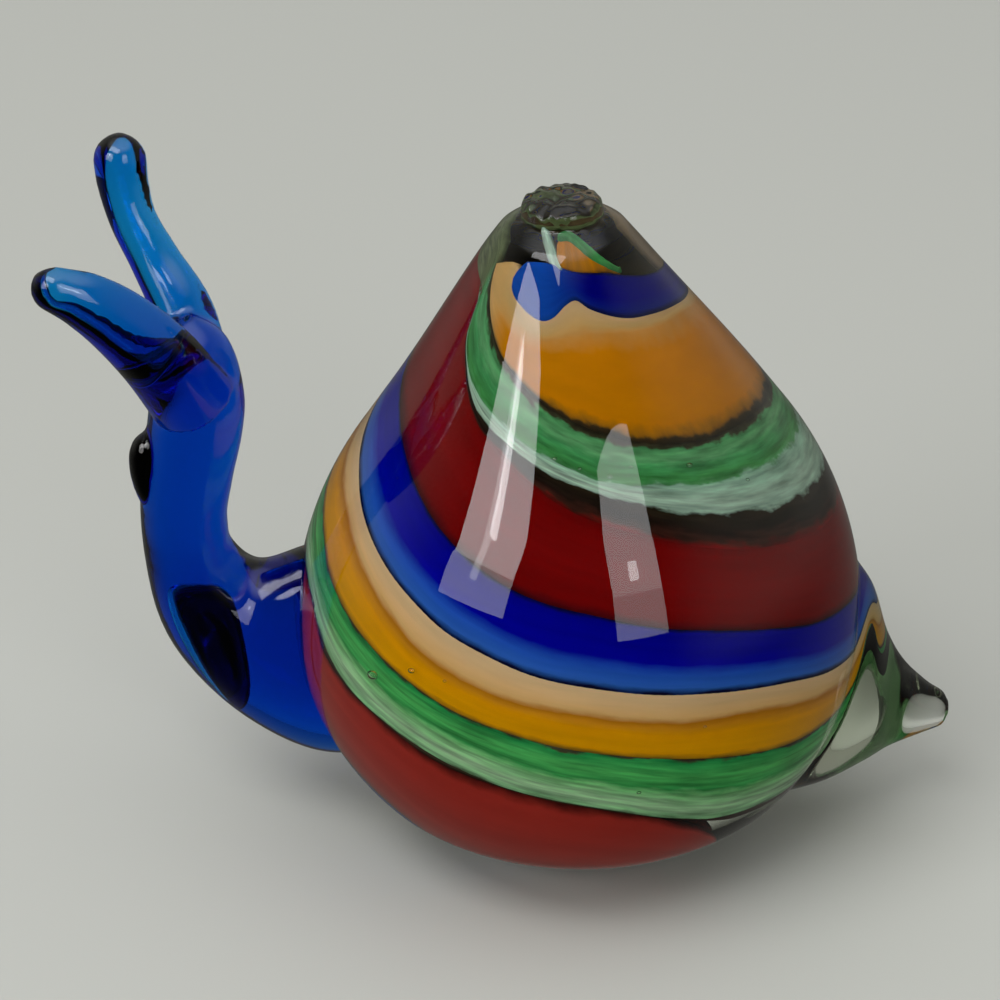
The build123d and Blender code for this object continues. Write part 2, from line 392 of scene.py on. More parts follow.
@dataclass(frozen=True)
class FirePolishedGlass:
    """See-through glass, fire polished: sharp reflections, and a colour that deepens where it is thick."""

    name: str
    passing: str
    density: float
    ior: float = 1.5

    def make(self) -> bpy.types.Material:
        """Make the material."""
        material = bpy.data.materials.new(self.name)
        material.use_nodes = True
        tree = material.node_tree
        feed(
            tree.nodes["Principled BSDF"],
            {"Base Color": linear("#FFFFFF"), "Roughness": 0.0, "IOR": self.ior, "Transmission Weight": 1.0},
        )
        inner = add(
            tree, "ShaderNodeVolumeAbsorption",
            links={"Color": linear(self.passing), "Density": self.density},
        )
        feed(tree.nodes["Material Output"], {"Volume": inner.outputs[0]})
        return material


@dataclass(frozen=True)
class ClearGlass(FirePolishedGlass):
    """Clear soda glass: a faint grey-green tint where it is thick."""

    name: str = "clear_soda_glass"
    passing: str = "#C1CBAE"
    density: float = 46.0


@dataclass(frozen=True)
class CobaltGlass(FirePolishedGlass):
    """Transparent cobalt glass: deep blue where it is thick, teal where it is thin."""

    name: str = "cobalt_glass"
    passing: str = "#00E3FA"
    density: float = 800.0


@dataclass(frozen=True)
class TrailGlass:
    """Opaque glass trail under the casing: streaky along its winding, with no gloss of its own.

    The stops run across the trail from its upper to its lower edge, on the first turn and further down. The
    start is the colour of the trail's first end.
    """

    name: str
    upper: Stops
    lower: Stops
    start: str
    start_turn: tuple[float, float] = (-74.0, -62.0)
    change_turn: tuple[float, float] = (110.0, 220.0)
    streak_length: float = 26.0
    streak_width: float = 2.2
    streak_detail: float = 3.0
    streak_range: tuple[float, float] = (0.3, 0.7)
    fray_length: float = 5.0
    fray_width: float = 1.8
    fray_detail: float = 5.0
    fray_range: tuple[float, float] = (0.25, 0.75)
    fray: float = 0.02
    mottle: float = 0.2
    roughness: float = 0.7

    def make(self) -> bpy.types.Material:
        """Make the material."""
        material = bpy.data.materials.new(self.name)
        material.use_nodes = True
        tree = material.node_tree
        place = add(tree, "ShaderNodeUVMap", {"uv_map": Trail.UV})
        split = add(tree, "ShaderNodeSeparateXYZ", links={0: place.outputs["UV"]})
        way = add(tree, "ShaderNodeAttribute", {"attribute_name": Trail.WAY})
        grains = []
        for length, width, detail, (low, high), least, most in (
            (self.streak_length, self.streak_width, self.streak_detail, self.streak_range,
             1 - self.mottle, 1 + self.mottle / 2),
            (self.fray_length, self.fray_width, self.fray_detail, self.fray_range, -self.fray, self.fray),
        ):
            stretched = add(
                tree, "ShaderNodeVectorMath", {"operation": "MULTIPLY"},
                {0: way.outputs["Vector"], 1: (1 / length, 1 / width, 0.0)},
            )
            noisy = add(
                tree, "ShaderNodeTexNoise",
                links={"Vector": stretched.outputs[0], "Scale": 1.0, "Detail": detail},
            )
            ranged = add(
                tree, "ShaderNodeMapRange",
                links={"Value": noisy.outputs["Fac"], "From Min": low, "From Max": high,
                       "To Min": least, "To Max": most},
            )
            grains.append(ranged.outputs[0])
        shade, shift = grains
        across = add(tree, "ShaderNodeMath", {"operation": "ADD"}, {0: split.outputs["Y"], 1: shift})
        colours = []
        for stops in (self.upper, self.lower):
            ramp = add(tree, "ShaderNodeValToRGB", links={"Fac": across.outputs[0]})
            elements = ramp.color_ramp.elements
            while len(elements) < len(stops):
                elements.new(1.0)
            for element, (share, seen) in zip(elements, stops):
                element.position = share
                element.color = under_glass(seen)
            colours.append(ramp.outputs["Color"])
        changed, begun = (
            add(
                tree, "ShaderNodeMapRange", {"interpolation_type": "SMOOTHSTEP"},
                {"Value": split.outputs["X"], "From Min": first / FULL_TURN, "From Max": last / FULL_TURN},
            )
            for first, last in (self.change_turn, self.start_turn)
        )
        wound = add(
            tree, "ShaderNodeMix", {"data_type": "RGBA"},
            {"Factor": changed.outputs[0], 6: colours[0], 7: colours[1]},
        )
        whole = add(
            tree, "ShaderNodeMix", {"data_type": "RGBA"},
            {"Factor": begun.outputs[0], 6: under_glass(self.start), 7: wound.outputs[2]},
        )
        mottled = add(
            tree, "ShaderNodeMix", {"data_type": "RGBA", "blend_type": "MULTIPLY"},
            {"Factor": 1.0, 6: whole.outputs[2], 7: shade},
        )
        feed(
            tree.nodes["Principled BSDF"],
            {"Base Color": mottled.outputs[2], "Roughness": self.roughness, "Specular IOR Level": 0.0},
        )
        return material


@dataclass(frozen=True)
class TailForm:
    """The tail, drawn out of the side of the shell to a blunt point."""

    length: float = 14.2
    root_height: float = 27.0
    root_rise: float = 19.0
    root_breadth: float = 13.5
    fall: float = 6.8
    blend: float = 4.5
    tip_round: float = 0.25
    length_shares: tuple[float, ...] = (-1.05, -0.475, 0.0, 0.254, 0.451, 0.712, 0.89, 0.955)
    fall_shares: tuple[float, ...] = (-0.04, -0.11, -0.05, 0.5, 0.78, 0.95, 1.0, 1.0)
    rise_shares: tuple[float, ...] = (1.145, 1.04, 0.83, 0.53, 0.37, 0.235, 0.16, 0.08)
    steps: int = 10

    def sections(self, widest_radius: float) -> list[tuple[float, float, float, float]]:
        """Reach, height, half rise and half breadth of the tail's sections, from the root to the tip."""
        made = []
        for step in range(self.steps * (len(self.rise_shares) - 1) + 1):
            station = step / self.steps
            rise = smooth_share(self.rise_shares, station)
            reach = widest_radius + smooth_share(self.length_shares, station) * self.length
            height = self.root_height - smooth_share(self.fall_shares, station) * self.fall
            made.append((reach, height, rise * self.root_rise, rise * self.root_breadth))
        return made

    def reach_at(self, sections: list, side: float, height: float) -> float | None:
        """Reach of the tail's surface over a place in the upright plane across it.

        Args:
            sections: Sections of the tail from the root to the tip.
            side: Place along Y.
            height: Place along Z.

        Returns:
            The reach along X, or None outside the tail's root.
        """

        def off_axis(section: tuple[float, float, float, float]) -> float:
            """Distance from the section's middle as a share of its own size there."""
            return math.hypot((height - section[1]) / section[2], side / section[3])

        beyond = off_axis(sections[-1])
        if beyond <= 1:
            return sections[-1][0] + self.tip_round * math.sqrt(1 - beyond**2)
        for inner, outer in zip(reversed(sections[:-1]), reversed(sections[1:])):
            inside = off_axis(inner)
            if inside <= 1:
                return inner[0] + (outer[0] - inner[0]) * (1 - inside) / (beyond - inside)
            beyond = inside
        return None


@dataclass
class ClearBody:
    """The clear glass: casing, core, tail and crown knob, which are one fused body round a hollow.

    The knob's outline is in pairs of radius and rise over the crown. The seeds are air bubbles, each at a
    turn and a distance down from the crown.
    """

    form: ShellForm
    tail: TailForm
    hollow_depth: float = 6.5
    hollow_start: float = 15.0
    hollow_top: float = 4.0
    dome_angles: tuple[float, ...] = (12, 28, 44, 60, 76)
    foot_drop: float = 1.3
    fine_step: float = 0.42
    coarse_step: float = 1.1
    tail_zone: tuple[float, float] = (1.0, 50.0)
    fine_turn: float = 0.6
    coarse_turn: float = 1.8
    tail_turn: float = 90.0
    tail_half_turn: float = 24.0
    tail_margin: float = 1.2
    knob_outline: Knots = (
        (1.2, 5.3), (3.2, 5.5), (4.8, 5.4), (5.7, 5.0), (6.1, 4.3), (6.2, 3.3), (6.4, 2.4), (7.3, 1.7),
        (8.4, 1.0), (9.4, 0.3),
    )
    knob_rough: float = 1.1
    knob_grain: float = 1.5
    knob_foot: float = 1.4
    knob_blend: float = 1.95
    knob_steps: int = 4
    crown_inset: float = 0.2
    crown_round: float = 6.0
    seeds: Knots = (
        (-48.0, 69.5), (-38.0, 66.0), (-8.0, 30.0), (0.0, 31.5), (9.0, 33.0), (16.0, 32.0), (35.0, 34.0),
        (-30.0, 66.0), (52.0, 40.0), (24.0, 74.0), (-60.0, 40.0), (10.0, 84.0),
    )
    seed_sizes: tuple[float, ...] = (1.8, 1.0, 0.6, 0.5, 0.7, 0.5, 0.8, 0.5, 0.6, 0.5, 0.4, 0.6)
    seed_stretch: tuple[float, float, float] = (1.25, 0.9, 0.85)
    seed_depth: float = 1.4
    seed_segments: int = 16

    def turns(self) -> list[float]:
        """Turn angles of the skin's columns, close together over the tail."""
        turns, turn = [], 0.0
        while turn < FULL_TURN - self.fine_turn / 2:
            turns.append(turn)
            near_tail = abs(turn - self.tail_turn) < self.tail_half_turn
            turn += self.fine_turn if near_tail else self.coarse_turn
        return turns

    def outline(self) -> list[tuple[float, float]]:
        """Radius and height of the outside from the knob down to the foot."""
        radii, rises = zip(*self.knob_outline)
        stations = [i / self.knob_steps for i in range(self.knob_steps * (len(radii) - 1) + 1)]
        crown = self.form.crown_height
        knob = [(smooth_share(radii, place), crown + smooth_share(rises, place)) for place in stations]
        points, distance = [], 0.0
        while distance < self.form.length:
            radius, height = self.form.outline(distance, 0.0)
            rounded = max(1 - distance / self.crown_round, 0.0) ** 2
            points.append((radius - self.crown_inset * rounded, height))
            low, high = self.tail_zone
            distance += self.fine_step if low < points[-1][1] < high else self.coarse_step
        foot = self.form.outline(self.form.length, 0.0)
        return knob + points + [foot, (foot[0], -self.foot_drop), (foot[0] / 2, -self.foot_drop)]

    def drawn_out(self, place: Vector, sections: list) -> Vector:
        """Move a point of the shell out on to the tail, with a soft fillet at the tail's root."""
        reach = self.tail.reach_at(sections, place.y / MM, place.z / MM) if place.x > 0 else None
        if reach is None:
            return place
        own = place.x / MM
        near = max(self.tail.blend - abs(own - reach), 0.0) / self.tail.blend
        place.x = (max(own, reach) + near**2 * self.tail.blend / 4) * MM
        return place

    def outside(self) -> bpy.types.Object:
        """Skin of the outside, with the tail drawn out of it and the rough seal on the crown."""
        sections = self.tail.sections(self.form.widest_radius)
        margin = self.tail.root_rise * self.tail_margin
        rings = []
        for radius, height in self.outline():
            ring = []
            for turn in self.turns():
                place = self.form.turned(turn, radius, height)
                rough = (height - self.form.crown_height - self.knob_foot) / self.knob_blend
                if rough > 0:
                    lump = (1 + noise.noise(place / (self.knob_grain * MM))) / 2
                    place.z -= lump * self.knob_rough * min(rough, 1.0) * MM
                if abs(height - self.tail.root_height) < margin:
                    place = self.drawn_out(place, sections)
                ring.append(place)
            rings.append(ring)
        return skin("clear_body", rings)

    def hollow(self) -> bpy.types.Object:
        """Skin of the blown hollow, which looks into the empty space."""
        length = self.form.length - self.hollow_start
        steps = int(length / self.coarse_step)
        places = [self.hollow_start + i * length / steps for i in range(steps + 1)]
        outline = [self.form.outline(place, self.hollow_depth) for place in places]
        radius, height = outline[0]
        turns = [math.radians(angle) for angle in self.dome_angles]
        dome = [(radius * math.sin(turn), height + self.hollow_top * math.cos(turn)) for turn in turns]
        bottom = (outline[-1][0] / 2, outline[-1][1])
        return self.form.lathe("hollow", dome + outline + [bottom], inside_out=True)

    def air_seeds(self) -> list[bpy.types.Object]:
        """Small drawn-out air bubbles in the casing."""
        made = []
        for (turn, distance), size in zip(self.seeds, self.seed_sizes):
            halves = tuple(size / 2 * stretch for stretch in self.seed_stretch)
            seed = ball(halves, self.seed_segments, inside_out=True)
            seed.data.transform(Matrix.Translation(self.form.point(turn, distance, self.seed_depth)))
            made.append(seed)
        return made

    def build(self, finish: ClearGlass) -> bpy.types.Object:
        """Build and dress the clear body.

        Args:
            finish: The clear glass.

        Returns:
            The finished piece.
        """
        piece = join(self.outside(), self.hollow(), *self.air_seeds())
        piece.data.materials.append(finish.make())
        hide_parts("clear_casing", "core_bubble", "crown_knob", "tail")
        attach(piece, "root")
        return piece


@dataclass
class Trail:
    """One wound colour trail: lines that run round the shell, from its upper to its lower edge.

    Each line has its share of the way across the trail. The trail runs from its first to its last turn.
    """

    form: ShellForm
    node: str
    slot: Slot
    lines: tuple[tuple[float, Knots], ...]
    first: float
    last: float
    breadth: float = 16.0
    start_round: float = 6.0
    start_steps: int = 8
    end_taper: float = 30.0
    least_opening: float = 0.02
    depth: float = 2.6
    thickness: float = 1.5
    tuck: float = 0.8
    tuck_depth: float = 0.35
    turn_step: float = 2.0
    across_steps: int = 8
    curls: tuple["Trail", ...] = ()

    UV: ClassVar[str] = "winding"
    WAY: ClassVar[str] = "way"

    def distances(self, turn: float) -> list[tuple[float, float]]:
        """Share across and distance from the crown of the rows at a turn, drawn together at the ends."""
        lines = [(share, smooth_at(knots, turn)) for share, knots in self.lines]
        rows = []
        for (share, start), (next_share, stop) in zip(lines, lines[1:]):
            spread = max(stop, start) - start
            for step in range(self.across_steps):
                part = step / self.across_steps
                rows.append((share + (next_share - share) * part, start + spread * part))
        rows.append((lines[-1][0], max(lines[-1][1], lines[0][1])))
        middle = (rows[0][1] + rows[-1][1]) / 2
        opened = 1.0
        for gone, length in ((turn - self.first, self.start_round), (self.last - turn, self.end_taper)):
            opened *= math.sqrt(max(1 - (1 - min(gone / length, 1.0)) ** 2, 0.0))
        opened = max(opened, self.least_opening)
        return [(share, middle + (distance - middle) * opened) for share, distance in rows]

    def turns(self) -> list[float]:
        """Turn angles of the sections, close together at the rounded start."""
        rounded = [self.first + self.start_round * i / self.start_steps for i in range(self.start_steps)]
        full = self.first + self.start_round
        count = int((self.last - full) / self.turn_step)
        return rounded + [full + i * self.turn_step for i in range(count)] + [self.last]

    def shape(self) -> bpy.types.Object:
        """Skin of the trail, marked with the way along and across its winding."""
        rings, marks = [], []
        for turn in self.turns():
            rows = self.distances(turn)
            lower = rows[-1][1]
            outer = [(share, distance, self.depth) for share, distance in rows]
            outer.append((rows[-1][0], lower + self.tuck, self.depth + self.tuck_depth))
            inner = [(share, distance, self.depth + self.thickness) for share, distance, _ in reversed(outer)]
            rings.append([self.form.point(turn, distance, depth) for _, distance, depth in outer + inner])
            marks.extend((turn / FULL_TURN, share) for share, _, _ in outer + inner)
        piece = skin(self.node, rings)
        self.mark(piece, marks)
        return piece

    def build(self, finish: TrailGlass) -> bpy.types.Object:
        """Build and dress the trail, with the curls at its start where it has any.

        Args:
            finish: The opaque glass of the trail.

        Returns:
            The finished piece.
        """
        piece = join(self.shape(), *(curl.shape() for curl in self.curls))
        piece.data.materials.append(finish.make())
        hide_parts(self.node)
        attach(piece, "root")
        return piece

    def mark(self, piece: bpy.types.Object, marks: list[tuple[float, float]]) -> None:
        """Write where each point is on the winding, for the finish to follow.

        Args:
            piece: The trail's mesh object.
            marks: Turn and share across of each point.
        """
        mesh = piece.data
        marks = marks + [marks[0], marks[-1]]
        round_length = 2 * math.pi * self.form.widest_radius
        way = mesh.attributes.new(self.WAY, "FLOAT_VECTOR", "POINT")
        for place, (turn, share) in zip(way.data, marks):
            place.vector = (turn * round_length, share * self.breadth, 0.0)
        uv = mesh.uv_layers.new(name=self.UV)
        for loop in mesh.loops:
            uv.data[loop.index].uv = marks[loop.vertex_index]


@dataclass
class Head:
    """The blue glass: neck, two tentacles and the mouth, which are fused into one body.

    The shares give the neck's sections at even stations from inside the shell up to the head.
    """

    form: ShellForm
    neck_offset: float = 20.0
    joint_rise: float = 17.4
    joint_breadth: float = 9.6
    head_height: float = 90.5
    root_setback: float = 2.5
    root_drop: float = 11.5
    tentacle_flat_share: float = 0.95
    mouth_station: float = 5.56
    mouth_side: float = -2.0
    mouth_sink: float = 0.9
    mouth_length: float = 10.0
    mouth_depth: float = 6.0
    mouth_drop: float = 2.4
    mouth_draw: float = 2.6
    mouth_segments: int = 48
    fuse_depth: float = 1.8
    bubble_place: tuple[float, float, float] = (-59.8, 0.0, 34.2)
    bubble_face: tuple[float, float, float] = (0.769, -0.534, 0.352)
    bubble_way: tuple[float, float, float] = (0.5, 0.0, -0.866)
    bubble_halves: tuple[float, float, float] = (12.0, 5.0, 1.2)
    bubble_segments: int = 64
    voxel: float = 0.45
    smoothing: int = 14
    smooth_factor: float = 0.5
    smooth_angle: float = 40.0
    cutter_steps: int = 100
    steps: int = 6
    ring_points: int = 64
    offset_shares: tuple[float, ...] = (-0.6, -0.025, 0.505, 0.89, 1.0, 0.985, 0.898, 0.863, 0.898, 0.968)
    height_shares: tuple[float, ...] = (0.352, 0.352, 0.37, 0.464, 0.568, 0.674, 0.791, 0.873, 0.95, 1.0)
    tilts: tuple[float, ...] = (90, 88, 84, 62, 31, 12, -2, -8, 10, 20)
    width_shares: tuple[float, ...] = (1.09, 1.09, 0.8, 0.588, 0.438, 0.428, 0.428, 0.417, 0.331, 0.128)
    breadth_shares: tuple[float, ...] = (1.0, 1.0, 0.97, 0.93, 0.81, 0.785, 0.785, 0.76, 0.6, 0.23)
    tip_shares: tuple[float, ...] = (0.25, 0.5, 0.7, 0.85, 0.95, 0.99)

    def oval(self, place: Vector, wide: Vector, broad: Vector, ridge: float = 0.0) -> list[Vector]:
        """Oval ring in metres.

        Args:
            place: Middle of the ring.
            wide: First half axis.
            broad: Second half axis, towards the back.
            ridge: How far the back half is pinched to a ridge, from none at 0 to two flat sides at 1.

        Returns:
            Points of the ring.
        """
        points = []
        for i in range(self.ring_points):
            angle = 2 * math.pi * i / self.ring_points
            across, back = math.cos(angle), math.sin(angle)
            if back > 0:
                pinch = (abs(across) + back) ** -ridge
                across, back = across * pinch, back * pinch
            points.append((place + wide * across + broad * back) * MM)
        return points

    def neck_place(self, station: float) -> tuple[float, float, float, float]:
        """Reach from the shell axis, height, half width and half breadth of the neck at a station."""
        reach = self.form.widest_radius + smooth_share(self.offset_shares, station) * self.neck_offset
        height = smooth_share(self.height_shares, station) * self.head_height
        width = smooth_share(self.width_shares, station) * self.joint_rise
        return reach, height, width, smooth_share(self.breadth_shares, station) * self.joint_breadth

    def neck(self) -> bpy.types.Object:
        """Skin of the neck from inside the shell up to the head."""
        rings = []
        for step in range(self.steps * (len(self.tilts) - 1) + 1):
            station = step / self.steps
            reach, height, width, breadth = self.neck_place(station)
            tilt = math.radians(smooth_share(self.tilts, station))
            wide = Vector((math.cos(tilt), 0.0, math.sin(tilt))) * width
            rings.append(self.oval(Vector((-reach, 0.0, height)), wide, Vector((0.0, breadth, 0.0))))
        return skin("neck_skin", rings)

    def tentacle(self, form: "TentacleForm") -> bpy.types.Object:
        """Skin of a tentacle from its root in the head to its round tip."""
        root = Vector((
            self.root_setback - self.form.widest_radius - self.neck_offset,
            form.root_side,
            self.head_height - self.root_drop,
        ))
        way = Vector(form.way)
        places, halves = [], []
        for step in range(self.steps * (len(form.thinning_shares) - 1) + 1):
            station = step / self.steps
            share = Vector([smooth_share(shares, station) for shares in form.way_shares])
            places.append(root + way * share)
            thinning = smooth_share(form.thinning_shares, station)
            halves.append((form.root_thickness + thinning * (form.tip_thickness - form.root_thickness)) / 2)
        aims = [(after - before).normalized() for before, after in zip(places, places[1:])]
        aims = [aims[0]] + [(a + b).normalized() for a, b in zip(aims, aims[1:])] + [aims[-1]]
        for share in self.tip_shares:
            places.append(root + way + aims[-1] * (share * form.tip_thickness / 2))
            halves.append(form.tip_thickness / 2 * math.sqrt(1 - share**2))
            aims.append(aims[-1])
        rings = []
        for place, half, aim in zip(places, halves, aims):
            across = Vector((0, 1, 0)).cross(aim).normalized()
            broad = aim.cross(across) * half * self.tentacle_flat_share
            rings.append(self.oval(place, across * half, broad, form.ridge))
        return skin("tentacle_skin", rings)

    def mouth(self) -> bpy.types.Object:
        """The small round bit pressed on the front of the neck."""
        reach, height, width, _ = self.neck_place(self.mouth_station)
        place = Vector((self.mouth_sink - reach - width, self.mouth_side, height)) * MM
        half = self.mouth_length / 2
        piece = ball((self.mouth_depth / 2, self.mouth_depth / 2, half), self.mouth_segments)
        for point in piece.data.vertices:
            below = min(point.co.z, 0.0)
            drawn = (below / (half * MM)) ** 2 * self.mouth_draw * MM
            point.co += Vector((drawn, 0.0, below * (self.mouth_drop - 1)))
        piece.data.transform(Matrix.Translation(place))
        return piece

    def bubble(self) -> bpy.types.Object:
        """Flat drawn-out air bubble in the bend of the neck, which looks into the empty space."""
        face = Vector(self.bubble_face).normalized()
        way = Vector(self.bubble_way)
        way = (way - face * way.dot(face)).normalized()
        turned = Matrix((way, face.cross(way), face)).transposed().to_4x4()
        piece = ball(self.bubble_halves, self.bubble_segments, inside_out=True)
        piece.data.transform(Matrix.Translation(Vector(self.bubble_place) * MM) @ turned)
        return piece

    def shell_cutter(self) -> bpy.types.Object:
        """Shape of the shell, a little inside its outside, to seat the neck on it."""
        step = self.form.length / self.cutter_steps
        places = [i * step for i in range(self.cutter_steps + 1)]
        outline = [self.form.outline(place, self.fuse_depth) for place in places]
        return self.form.lathe("shell_cutter", outline)

    def build(self, finish: CobaltGlass, tentacles: list["TentacleForm"]) -> bpy.types.Object:
        """Build and dress the head.

        Args:
            finish: The blue glass.
            tentacles: The two tentacles.

        Returns:
            The finished piece.
        """
        piece = join(self.neck(), *(self.tentacle(form) for form in tentacles), self.mouth())
        piece.name = piece.data.name = "blue_head"
        modify(piece, "REMESH", mode="VOXEL", voxel_size=self.voxel * MM)
        modify(piece, "SMOOTH", factor=self.smooth_factor, iterations=self.smoothing)
        cutter = self.shell_cutter()
        modify(piece, "BOOLEAN", operation="DIFFERENCE", object=cutter, solver="EXACT")
        bpy.data.objects.remove(cutter)
        pick(piece)
        bpy.ops.object.shade_smooth_by_angle(angle=math.radians(self.smooth_angle))
        join(piece, self.bubble())
        piece.data.materials.clear()
        piece.data.materials.append(finish.make())
        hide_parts("neck", "near_tentacle", "far_tentacle", "mouth")
        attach(piece, "root")
        return piece


@dataclass(frozen=True)
class TentacleForm:
    """Way and thickness of one tentacle.

    The way is from the root to the tip, and its shares are along X, Y and Z at even stations.
    """

    root_side: float
    way: tuple[float, float, float]
    root_thickness: float
    tip_thickness: float
    way_shares: tuple[tuple[float, ...], tuple[float, ...], tuple[float, ...]]
    thinning_shares: tuple[float, ...]
    ridge: float


FAR_TENTACLE = TentacleForm(
    root_side=3.0,
    way=(-11.3, 11.5, 31.8),
    root_thickness=11.6,
    tip_thickness=8.4,
    way_shares=(
        (0.0, 0.18, 0.53, 0.84, 0.97, 1.0),
        (0.0, 0.3, 0.61, 0.83, 0.96, 1.0),
        (0.0, 0.31, 0.52, 0.71, 0.88, 1.0),
    ),
    thinning_shares=(0.0, 0.5, 1.05, 1.25, 1.1, 1.0),
    ridge=0.6,
)
NEAR_TENTACLE = TentacleForm(
    root_side=-4.0,
    way=(-18.7, -10.5, 24.4),
    root_thickness=13.6,
    tip_thickness=7.6,
    way_shares=((0.0, 0.24, 0.53, 0.775, 1.0), (0.0, 0.43, 0.71, 0.886, 1.0), (0.0, 0.41, 0.72, 0.9, 1.0)),
    thinning_shares=(0.0, 0.13, 0.4, 0.67, 1.0),
    ridge=0.95,
)

# Lines between the colours, as pairs of a turn in degrees from the front and a distance down from the crown
BLUE_TOP: Knots = (
    (-60, 3.6), (-44, 2.2), (-36, 1.2), (-14, 0.9), (8, 2.1), (30, 3.0), (40, 3.6), (48, 4.4), (57, 5.3),
    (66, 6.2), (80, 7.6), (95, 9.0), (135, 13.0), (180, 19.0), (230, 26.0), (276, 31.8), (296, 36.3),
    (309, 40.1), (318, 42.9), (328, 45.9), (338, 48.8), (348, 51.2), (363, 53.8), (376, 56.6), (389, 59.2),
    (404, 62.8), (420, 67.0), (450, 72.0), (540, 79.0), (585, 83.0), (630, 88.5), (645, 92.0), (655, 95.5),
    (665, 100.0), (673, 107.0), (682, 114.0), (700, 121.0),
)
BLUE_ORANGE: Knots = (
    (-60, 6.2), (-42, 6.3), (-24, 8.6), (-16, 9.2), (-9, 8.6), (-1, 6.8), (7, 6.1), (15, 7.6), (36, 10.2),
    (57, 11.6), (81, 13.5), (130, 19.0), (180, 27.0), (230, 36.0), (277, 44.0), (290, 47.2), (301, 50.2),
    (310, 52.8), (319, 55.4), (328, 58.2), (338, 60.5), (349, 63.0), (363, 65.1), (374, 66.9), (387, 68.9),
    (405, 72.3), (423, 76.8), (450, 81.5), (540, 88.0), (630, 97.0), (655, 106.0), (673, 117.0),
    (690, 122.0), (720, 124.0),
)
ORANGE_TOP: Knots = (
    (-74, 4.2), (-66, 3.2), (-58, 2.4), (-48, 2.0), (-40, 3.0), (-32, 5.5), (-24, 8.2), (-16, 9.1),
    (-9, 8.2), (-1, 6.4), (7, 5.7),
) + tuple((turn, distance - 0.4) for turn, distance in BLUE_ORANGE[7:])
PEACH_ORANGE: Knots = (
    (-74, 5.0), (-66, 6.0), (-58, 7.4), (-45, 9.6), (-31, 12.0), (-15, 12.6), (14, 11.8), (57, 14.0),
    (81, 15.4), (130, 22.0), (180, 30.5), (230, 40.5), (266, 47.6), (286, 50.4), (298, 54.0), (310, 58.0),
    (321, 62.2), (331, 64.9), (342, 67.3), (355, 69.0), (366, 70.7), (380, 72.9), (396, 74.8), (419, 80.0),
    (450, 85.0), (540, 92.0),
)
ORANGE_GREEN: Knots = (
    (-200, 0.2), (-110, 0.2), (-80, 0.6), (-72, 2.2), (-68, 4.5), (-60, 7.9), (-49, 11.8), (-38, 15.5),
    (-27, 18.5), (-15, 21.6), (-3, 24.1), (7, 26.1), (20, 28.4), (37, 30.6), (54, 32.1), (69, 33.3),
    (82, 34.4), (130, 39.0), (180, 44.5), (230, 50.5), (277, 56.2), (288, 59.6), (297, 62.2), (306, 64.6),
    (319, 68.0), (332, 71.2), (343, 73.2), (354, 75.2), (366, 77.0), (378, 79.2), (391, 81.8), (409, 85.2),
    (450, 90.0), (500, 95.0), (540, 99.0),
)
GREEN_MINT: Knots = (
    (-200, 0.3), (-110, 3.0), (-80, 4.0), (-67, 10.0), (-63, 14.6), (-54, 19.0), (-43, 22.4), (-34, 24.5),
    (-20, 27.9), (-6, 30.8), (8, 33.6), (23, 35.1), (42, 37.5), (62, 40.0), (80, 41.9), (130, 47.0),
    (180, 52.0), (230, 57.0), (277, 61.5), (300, 68.0), (314, 72.0), (327, 75.2), (340, 78.0), (352, 80.6),
    (364, 82.8), (379, 86.4), (390, 89.0), (420, 93.0), (500, 97.0),
)
MINT_DARK: Knots = (
    (-200, 0.4), (-110, 5.6), (-80, 6.8), (-67, 10.3), (-63, 14.9), (-54, 19.4), (-45, 23.6), (-37, 26.3),
    (-25, 29.0), (-12, 32.2), (-3, 34.0), (11, 36.7), (26, 40.2), (43, 43.9), (60, 47.1), (76, 50.2),
    (130, 56.0), (180, 60.0), (230, 62.6), (277, 64.9), (290, 69.2), (302, 74.1), (314, 77.0), (340, 83.2),
    (364, 87.9), (390, 95.5), (450, 102.6),
)
GREEN_RED: Knots = (
    (-280, 0.3), (-240, 0.3), (-200, 0.5), (-150, 3.0), (-110, 6.0), (-80, 7.2), (-68, 8.5), (-66.5, 11.0),
    (-63, 15.2), (-54, 20.0), (-45, 24.4), (-37, 27.5), (-28, 30.0), (-15, 34.3), (-6, 37.0), (5, 39.8),
    (17, 42.5), (29, 45.7), (42, 49.0), (58, 52.4), (73, 55.2), (90, 57.3), (130, 60.5), (180, 62.5),
    (230, 64.0), (270, 65.0), (286, 66.6), (290, 69.4), (293, 72.0), (302, 74.6), (314, 77.4), (327, 81.2),
    (340, 83.6), (352, 85.8), (364, 88.3), (379, 92.4), (390, 95.8), (396, 97.4), (450, 103.0),
)

RED_BASE: Knots = tuple((turn - FULL_TURN, distance) for turn, distance in BLUE_TOP if turn > 90) + (
    (365, 124.0), (400, 124.0),
)

# Lines of the short curls in the crown, in the same pairs
CURL_TOP: Knots = ((-10, -3.8), (8, -4.2), (22, -2.6), (38, 0.6), (50, 3.2))
CURL_MIDDLE: Knots = ((-10, -2.8), (8, -2.8), (22, -0.8), (38, 1.8), (50, 3.6))
CURL_BASE: Knots = ((-10, 0.4), (8, 1.7), (22, 2.3), (38, 2.6), (50, 3.9))
SWIRL_TOP: Knots = ((-36, -5.0), (-24, -4.2), (-12, -1.6), (-4, 1.0), (2, 2.0))
SWIRL_BASE: Knots = ((-36, -4.4), (-24, -2.2), (-12, 0.6), (-4, 1.8), (2, 2.2))

